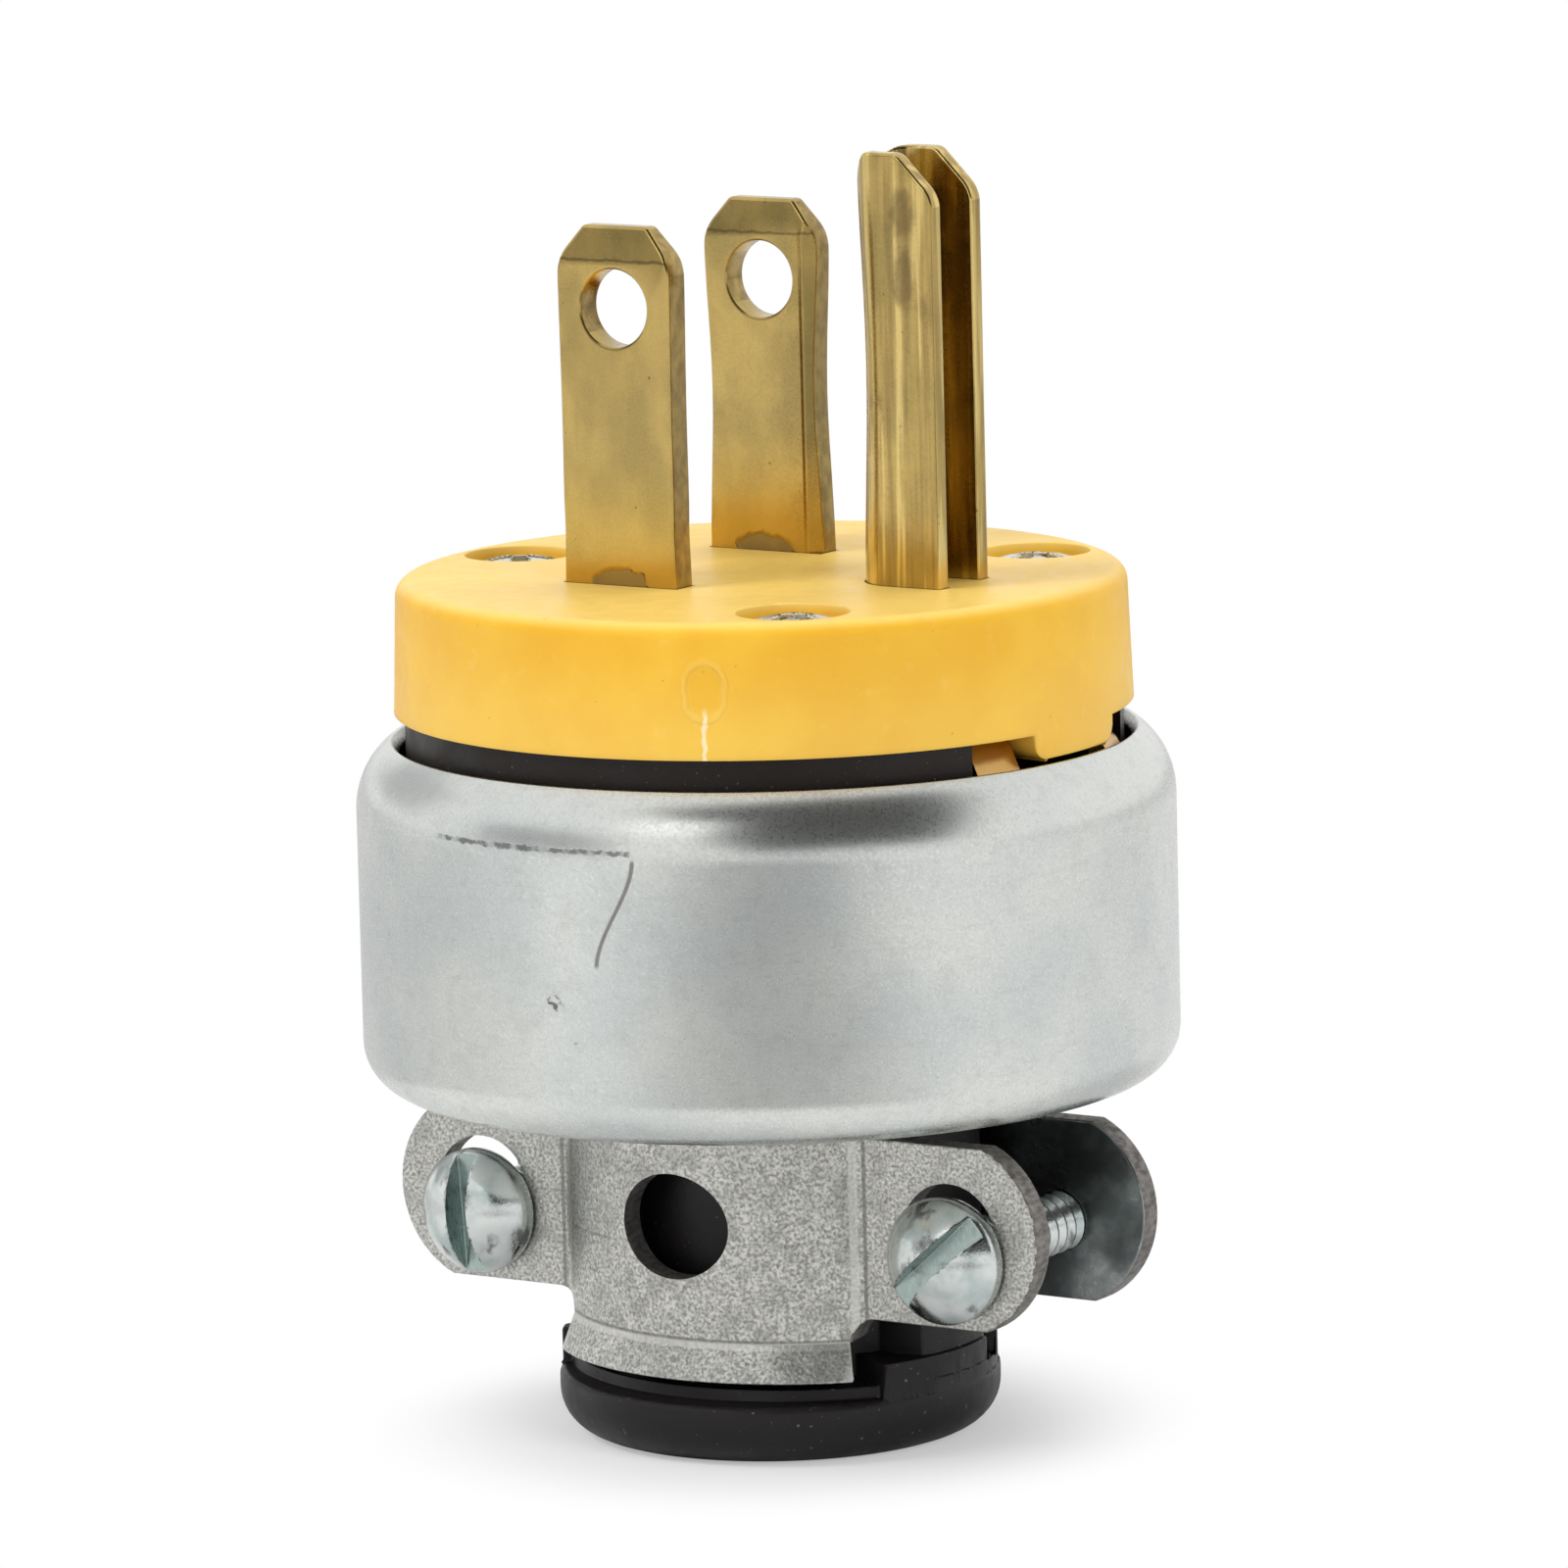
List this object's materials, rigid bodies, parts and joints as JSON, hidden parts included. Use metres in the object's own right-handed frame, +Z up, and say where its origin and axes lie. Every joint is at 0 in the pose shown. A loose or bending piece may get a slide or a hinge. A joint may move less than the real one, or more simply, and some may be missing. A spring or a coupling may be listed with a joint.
{
  "type": "type b plug",
  "caption": "Armoured grounding plug with a yellow face cover, brass blades, a drawn steel shell and a screwed, stamped cord clamp round a rubber cord bush.",
  "frame": {"origin": "centre of the cord bush's lower face, on which the plug stands with its blades up", "axes": "+Z up along the plug towards the blade tips, +X from the flat blades to the ground blade, +Y from the hot blade to the neutral blade"},
  "size_m": [0.0392, 0.0392, 0.0621],
  "materials": {
    "cover_plastic": "satin moulded amber yellow",
    "body_plastic": "matte moulded black",
    "blade_brass": "drawn and a little tarnished",
    "strap_brass": "stamped",
    "hot_screw_brass": "plain",
    "neutral_screw_nickel": "nickel plated",
    "ground_screw_green": "green dyed plating",
    "shell_zinc": "bright zinc plate with a bluish cast",
    "clamp_zinc": "dull granular zinc plate",
    "bush_rubber": "satin moulded",
    "face_screw_zinc": "yellowish zinc plate",
    "clamp_screw_zinc": "bright zinc plate"
  },
  "bodies": {
    "plug": {"face_cover": "cover_plastic", "terminal_body": "body_plastic", "hot_blade": "blade_brass", "neutral_blade": "blade_brass", "ground_blade": "blade_brass", "grounding_strap": "strap_brass", "hot_terminal_screw": "hot_screw_brass", "neutral_terminal_screw": "neutral_screw_nickel", "ground_terminal_screw": "ground_screw_green", "steel_shell": "shell_zinc", "rear_clamp_half": "clamp_zinc", "cord_bush": "bush_rubber", "face_screw_left": "face_screw_zinc", "face_screw_front": "face_screw_zinc", "face_screw_rear": "face_screw_zinc"},
    "clamp_jaw": {"front_clamp_half": "clamp_zinc"},
    "left_screw": {"clamp_screw_left": "clamp_screw_zinc"},
    "right_screw": {"clamp_screw_right": "clamp_screw_zinc"}
  },
  "joints": [
    {"name": "jaw_slide", "type": "slide", "parent": "plug", "child": "clamp_jaw", "axis": [0, 1, 0], "range_m": [0, 0.001]},
    {"name": "left_screw_turn", "type": "hinge", "parent": "clamp_jaw", "child": "left_screw", "pos_m": [-0.0133, -0.0058, 0.0103], "axis": [0, 1, 0], "range_deg": [-360, 810]},
    {"name": "right_screw_turn", "type": "hinge", "parent": "clamp_jaw", "child": "right_screw", "pos_m": [0.0133, -0.0058, 0.0103], "axis": [0, 1, 0], "range_deg": [-360, 810]}
  ],
  "couplings": [
    {"joint": "left_screw_turn", "follows": "jaw_slide", "rad_per_m": 7854},
    {"joint": "right_screw_turn", "follows": "jaw_slide", "rad_per_m": 7854}
  ]
}
